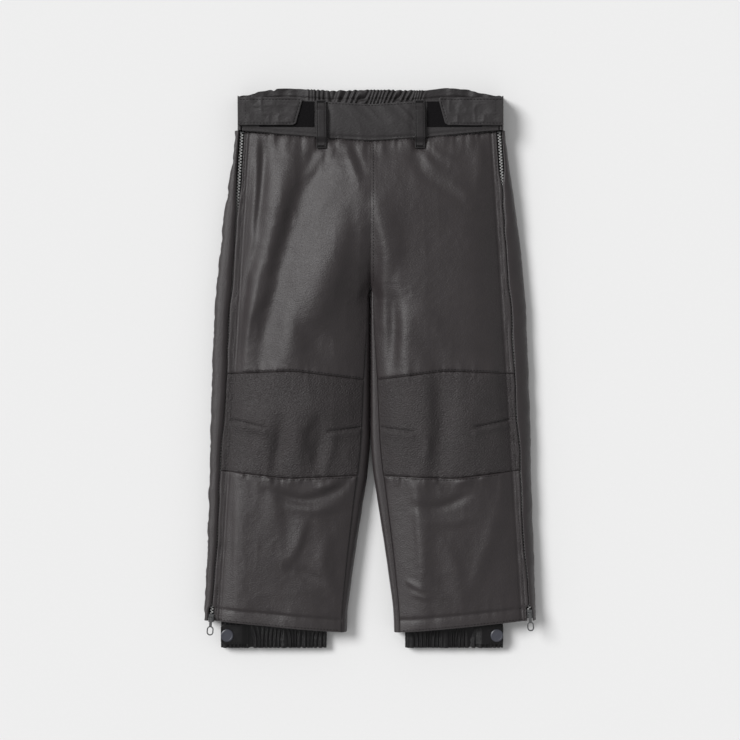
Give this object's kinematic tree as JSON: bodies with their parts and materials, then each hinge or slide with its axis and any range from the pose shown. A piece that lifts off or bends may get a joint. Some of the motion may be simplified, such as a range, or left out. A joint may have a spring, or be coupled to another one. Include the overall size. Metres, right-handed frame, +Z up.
{
  "type": "ski pants",
  "caption": "Child's insulated ski pants lying flat, with side zips, elastic back waist, peel-off waist tabs, belt loops, knee patches and snow gaiters.",
  "frame": {"origin": "on the floor, under the middle of the garment's length and width", "axes": "+Y toward the waist, +Z up out of the front of the pants, +X toward the wearer's left"},
  "size_m": [0.3896, 0.656, 0.04],
  "materials": {
    "shell_fabric": "matte coated polyester twill, charcoal grey",
    "knee_fabric": "coarse textured polyester, matte",
    "waistband_fabric": "matte polyester, dark grey",
    "gaiter_fabric": "thin nylon taffeta, near black",
    "lining_fabric": "smooth lining taffeta, grey",
    "insulation_fill": "polyester wadding, white",
    "hook_and_loop": "fuzzy loop and stiff hook tape, black",
    "elastic_webbing": "ribbed elastic, dark",
    "zip_tape_fabric": "woven zip tape, black",
    "zip_coil_plastic": "nylon coil, satin",
    "zip_metal": "gunmetal, painted",
    "snap_cap_plastic": "satin moulded cap, blue-grey",
    "snap_metal": "pressed steel, nickel plated"
  },
  "bodies": {
    "garment": {"thigh_panel_left": "shell_fabric", "thigh_panel_right": "shell_fabric", "knee_patch_left": "knee_fabric", "knee_patch_right": "knee_fabric", "shin_panel_left": "shell_fabric", "shin_panel_right": "shell_fabric", "back_panel_left": "shell_fabric", "back_panel_right": "shell_fabric", "front_insulation_left": "insulation_fill", "front_insulation_right": "insulation_fill", "back_insulation_left": "insulation_fill", "back_insulation_right": "insulation_fill", "front_lining_left": "lining_fabric", "front_lining_right": "lining_fabric", "back_lining_left": "lining_fabric", "back_lining_right": "lining_fabric", "front_hem_facing_left": "lining_fabric", "front_hem_facing_right": "lining_fabric", "back_hem_facing_left": "lining_fabric", "back_hem_facing_right": "lining_fabric", "belt_loop_left": "waistband_fabric", "belt_loop_right": "waistband_fabric", "loop_tape_left": "hook_and_loop", "loop_tape_right": "hook_and_loop", "tab_anchor_left": "waistband_fabric", "tab_anchor_right": "waistband_fabric", "zip_tape_left": "zip_tape_fabric", "zip_tape_right": "zip_tape_fabric", "zip_coil_left": "zip_coil_plastic", "zip_coil_right": "zip_coil_plastic", "zip_stop_left": "zip_metal", "zip_stop_right": "zip_metal", "gaiter_skirt_left": "gaiter_fabric", "gaiter_skirt_right": "gaiter_fabric", "gaiter_elastic_left": "elastic_webbing", "gaiter_elastic_right": "elastic_webbing", "snap_stud_left": "snap_metal", "snap_stud_right": "snap_metal", "front_waistband": "waistband_fabric", "back_waistband": "waistband_fabric", "waist_elastic": "elastic_webbing", "waist_facing": "waistband_fabric"},
    "zip_slider_left": {"zip_slider_left": "zip_metal"},
    "zip_slider_right": {"zip_slider_right": "zip_metal"},
    "zip_pull_left": {"zip_pull_left": "zip_metal"},
    "zip_pull_right": {"zip_pull_right": "zip_metal"},
    "tab_strap_left": {"tab_strap_left": "waistband_fabric"},
    "tab_strap_right": {"tab_strap_right": "waistband_fabric"},
    "tab_end_left": {"tab_end_left": "waistband_fabric", "hook_tape_left": "hook_and_loop"},
    "tab_end_right": {"tab_end_right": "waistband_fabric", "hook_tape_right": "hook_and_loop"},
    "gaiter_flap_left": {"gaiter_flap_left": "gaiter_fabric", "snap_cap_left": "snap_cap_plastic", "snap_socket_left": "snap_metal"},
    "gaiter_flap_right": {"gaiter_flap_right": "gaiter_fabric", "snap_cap_right": "snap_cap_plastic", "snap_socket_right": "snap_metal"}
  },
  "joints": [
    {"name": "zip_slide_left", "type": "slide", "parent": "garment", "child": "zip_slider_left", "axis": [-0.0628, 0.998, 0], "range_m": [0, 0.535]},
    {"name": "zip_pull_flip_left", "type": "hinge", "parent": "zip_slider_left", "child": "zip_pull_left", "pos_m": [0.1863, -0.286, 0.0265], "axis": [-0.998, -0.0628, 0], "range_deg": [0, 175]},
    {"name": "tab_adjust_left", "type": "slide", "parent": "garment", "child": "tab_strap_left", "axis": [-1, 0, 0], "range_m": [0, 0.012]},
    {"name": "tab_peel_left", "type": "hinge", "parent": "tab_strap_left", "child": "tab_end_left", "pos_m": [0.118, 0.30125, 0.0318], "axis": [0, 1, 0], "range_deg": [0, 150]},
    {"name": "gaiter_snap_left", "type": "hinge", "parent": "garment", "child": "gaiter_flap_left", "pos_m": [0.1325, -0.31125, 0.0162], "axis": [0, -1, 0], "range_deg": [0, 100]},
    {"name": "zip_slide_right", "type": "slide", "parent": "garment", "child": "zip_slider_right", "axis": [0.0628, 0.998, 0], "range_m": [0, 0.535]},
    {"name": "zip_pull_flip_right", "type": "hinge", "parent": "zip_slider_right", "child": "zip_pull_right", "pos_m": [-0.18661, -0.291, 0.0265], "axis": [-0.998, 0.0628, 0], "range_deg": [0, 175]},
    {"name": "tab_adjust_right", "type": "slide", "parent": "garment", "child": "tab_strap_right", "axis": [1, 0, 0], "range_m": [0, 0.012]},
    {"name": "tab_peel_right", "type": "hinge", "parent": "tab_strap_right", "child": "tab_end_right", "pos_m": [-0.118, 0.30125, 0.0318], "axis": [0, -1, 0], "range_deg": [0, 150]},
    {"name": "gaiter_snap_right", "type": "hinge", "parent": "garment", "child": "gaiter_flap_right", "pos_m": [-0.1525, -0.31125, 0.0162], "axis": [0, 1, 0], "range_deg": [0, 100]}
  ]
}
